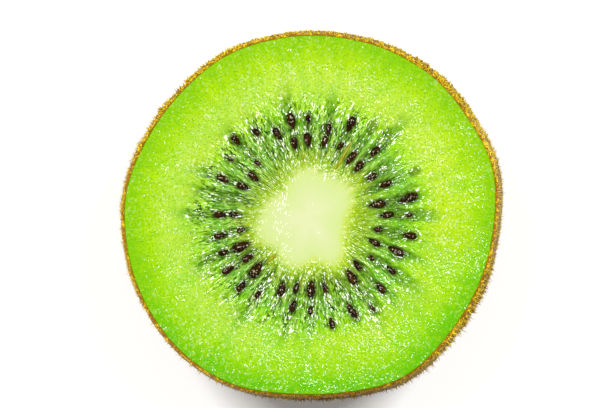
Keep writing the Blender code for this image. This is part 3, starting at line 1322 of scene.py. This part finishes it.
def settle(piece):
    """Parents a finished piece to the empty of its body."""
    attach(piece, BODY)


class KIWI_OT_seeds(bpy.types.Operator):
    """Adds the ring of seeds"""

    bl_idname = "kiwi.add_seeds"
    bl_label = "Seeds"

    def execute(self, context):
        looks = context.scene.kiwi_seeds
        piece = grown(
            "kiwi_seeds",
            seed_tree(),
            bpy.data.meshes.new("seed_start"),
            Material=seed_material(looks),
            Length=looks.length,
            Width=looks.width,
            Thickness=looks.thickness,
            Filled=looks.filled,
            Seed=looks.scatter_seed,
            Ring_Seed=context.scene.kiwi_flesh.ring_seed,
        )
        settle(piece)
        return {"FINISHED"}


class KIWI_OT_flesh(bpy.types.Operator):
    """Adds the flesh with its cut face, which stands for the solid"""

    bl_idname = "kiwi.add_flesh"
    bl_label = "Flesh"

    def execute(self, context):
        looks = context.scene.kiwi_flesh
        profile = flesh_profile(context.scene.kiwi_skin.thickness)
        piece = grown(
            "kiwi_flesh",
            flesh_tree(),
            turned("kiwi_flesh", profile, FLESH_STEPS),
            Material=flesh_material(looks),
            Seeds=bpy.data.objects["kiwi_seeds"],
            Pocket_Depth=looks.pocket_depth,
            Core_Rise=looks.core_rise,
            Fibre_Height=looks.fibre_height,
            Cell_Height=looks.cell_height,
            Seed=looks.ring_seed,
        )
        keep_edges(piece)
        settle(piece)
        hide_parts(SOLID)
        return {"FINISHED"}


class KIWI_OT_skin(bpy.types.Operator):
    """Adds the peel"""

    bl_idname = "kiwi.add_skin"
    bl_label = "Skin"

    def execute(self, context):
        looks = context.scene.kiwi_skin
        start = turned("kiwi_skin", skin_profile(looks.thickness), SKIN_STEPS)
        settings = {"Material": skin_material(looks), "Unevenness": looks.unevenness}
        piece = grown("kiwi_skin", skin_tree(), start, **settings)
        keep_edges(piece)
        settle(piece)
        return {"FINISHED"}


class KIWI_OT_fuzz(bpy.types.Operator):
    """Adds the short down and the long bristles on the peel"""

    bl_idname = "kiwi.add_fuzz"
    bl_label = "Fuzz"

    def execute(self, context):
        looks = context.scene.kiwi_skin
        tree = hair_tree()
        material = fuzz_material(looks)
        kinds = (
            ("kiwi_down", DOWN_DENSITY, looks.down_length, 2, DOWN_SEED),
            ("kiwi_bristles", BRISTLE_DENSITY, looks.bristle_length, 3, BRISTLE_SEED),
        )
        for name, density, length, segments, seed in kinds:
            piece = grown(
                name,
                tree,
                bpy.data.objects["kiwi_skin"].data,
                Material=material,
                Density=density,
                Length=length,
                Thickness=looks.hair_thickness,
                Segments=segments,
                Seed=seed,
            )
            settle(piece)
        return {"FINISHED"}


class KIWI_OT_juice(bpy.types.Operator):
    """Adds the beads of juice on the cut face, painted near-white as highlights"""

    bl_idname = "kiwi.add_juice"
    bl_label = "Juice"

    def execute(self, context):
        start = bpy.data.objects["kiwi_flesh"].data
        material = juice_glint_material(context.scene.kiwi_seeds)
        piece = grown("kiwi_juice", juice_glint_tree(), start, Material=material, Seed=JUICE_SEED)
        settle(piece)
        return {"FINISHED"}


class KIWI_OT_strands(bpy.types.Operator):
    """Adds the golden threads between the core and the seeds"""

    bl_idname = "kiwi.add_strands"
    bl_label = "Strands"

    def execute(self, context):
        x, y = face_centre()
        corners = []
        widths = []
        for direction, *ends, width in STRANDS:
            angle = math.radians(direction)
            for out in (share * FACE_RADIUS for share in ends):
                end = (x + out * math.cos(angle), y + out * math.sin(angle), HEIGHT + STRAND_LIFT)
                corners.append(end)
                widths.append(width)
        edges = [(i, i + 1) for i in range(0, len(corners), 2)]
        lines = bpy.data.meshes.new("strand_lines")
        lines.from_pydata(corners, edges, [])
        lines.attributes.new("width", "FLOAT", "POINT").data.foreach_set("value", widths)
        material = strand_material(context.scene.kiwi_seeds)
        flesh = bpy.data.objects["kiwi_flesh"]
        piece = grown("kiwi_strands", strand_tree(), lines, Material=material, Flesh=flesh)
        settle(piece)
        return {"FINISHED"}


def area_light(name, place, target, power):
    light = bpy.data.lights.new(name, "AREA")
    light.shape = "SQUARE"
    light.size = SOFTBOX_SIZE
    light.energy = power
    lamp = added(name, light)
    lamp.location = place
    lamp.rotation_euler = (target - Vector(place)).to_track_quat("-Z", "Y").to_euler()


class KIWI_OT_stage(bpy.types.Operator):
    """Adds the floor, the lights and the camera"""

    bl_idname = "kiwi.add_stage"
    bl_label = "Stage"

    def execute(self, context):
        studio = context.scene.kiwi_studio
        half = studio.floor_size / 2
        corners = [(-half, -half, 0), (half, -half, 0), (half, half, 0), (-half, half, 0)]
        sheet = bpy.data.meshes.new("studio_floor")
        sheet.from_pydata(corners, [], [(0, 1, 2, 3)])
        sheet.materials.append(floor_material(studio))
        floor = added("studio_floor", sheet)

        centre = Vector((*face_centre(), HEIGHT))
        for name, place in SOFTBOXES.items():
            area_light(name, place, centre, studio.key_power)

        world = bpy.data.worlds.new("studio")
        world.use_nodes = True
        background = world.node_tree.nodes["Background"]
        background.inputs["Strength"].default_value = studio.world_strength
        background.inputs["Color"].default_value = WORLD_COLOUR
        context.scene.world = world

        lens = bpy.data.cameras.new("camera")
        lens.sensor_width = SENSOR_WIDTH
        lens.lens = lens.sensor_width * studio.camera_distance / studio.frame_width
        lens.clip_start, lens.clip_end = CAMERA_RANGE
        camera = added("camera", lens)
        towards = math.radians(LEAN_TOWARDS)
        off = math.sin(studio.camera_lean)
        back = Vector(
            (off * math.cos(towards), off * math.sin(towards), math.cos(studio.camera_lean))
        )
        camera.location = centre + AIM_OFFSET + back * studio.camera_distance
        right = Vector((0.0, 1.0, 0.0)).cross(back).normalized()
        camera.rotation_euler = Matrix((right, back.cross(right), back)).transposed().to_euler()
        context.scene.camera = camera
        context.scene.view_settings.view_transform = "Standard"
        return {"FINISHED"}


PIECES = (
    KIWI_OT_seeds,
    KIWI_OT_flesh,
    KIWI_OT_skin,
    KIWI_OT_fuzz,
    KIWI_OT_juice,
    KIWI_OT_strands,
    KIWI_OT_stage,
)
SETTINGS = {
    "kiwi_flesh": KiwiFlesh,
    "kiwi_skin": KiwiSkin,
    "kiwi_seeds": KiwiSeeds,
    "kiwi_studio": KiwiStudio,
}


class KIWI_PT_panel(bpy.types.Panel):
    """Lists the pieces and their settings"""

    bl_idname = "KIWI_PT_panel"
    bl_label = "Kiwi Fruit Half"
    bl_space_type = "VIEW_3D"
    bl_region_type = "UI"
    bl_category = "Kiwi"

    def draw(self, context):
        for operator in PIECES:
            self.layout.operator(operator.bl_idname)
        for name in SETTINGS:
            box = self.layout.box()
            group = getattr(context.scene, name)
            for setting in group.__annotations__:
                box.prop(group, setting)


def register():
    for made in (*SETTINGS.values(), *PIECES, KIWI_PT_panel):
        bpy.utils.register_class(made)
    for name, group in SETTINGS.items():
        setattr(bpy.types.Scene, name, bpy.props.PointerProperty(type=group))


def unregister():
    for name in SETTINGS:
        delattr(bpy.types.Scene, name)
    for made in (KIWI_PT_panel, *reversed(PIECES), *reversed(SETTINGS.values())):
        bpy.utils.unregister_class(made)


def main():
    register()
    for piece in PIECES:
        family, action = piece.bl_idname.split(".")
        getattr(getattr(bpy.ops, family), action)()


if __name__ == "__main__":
    main()
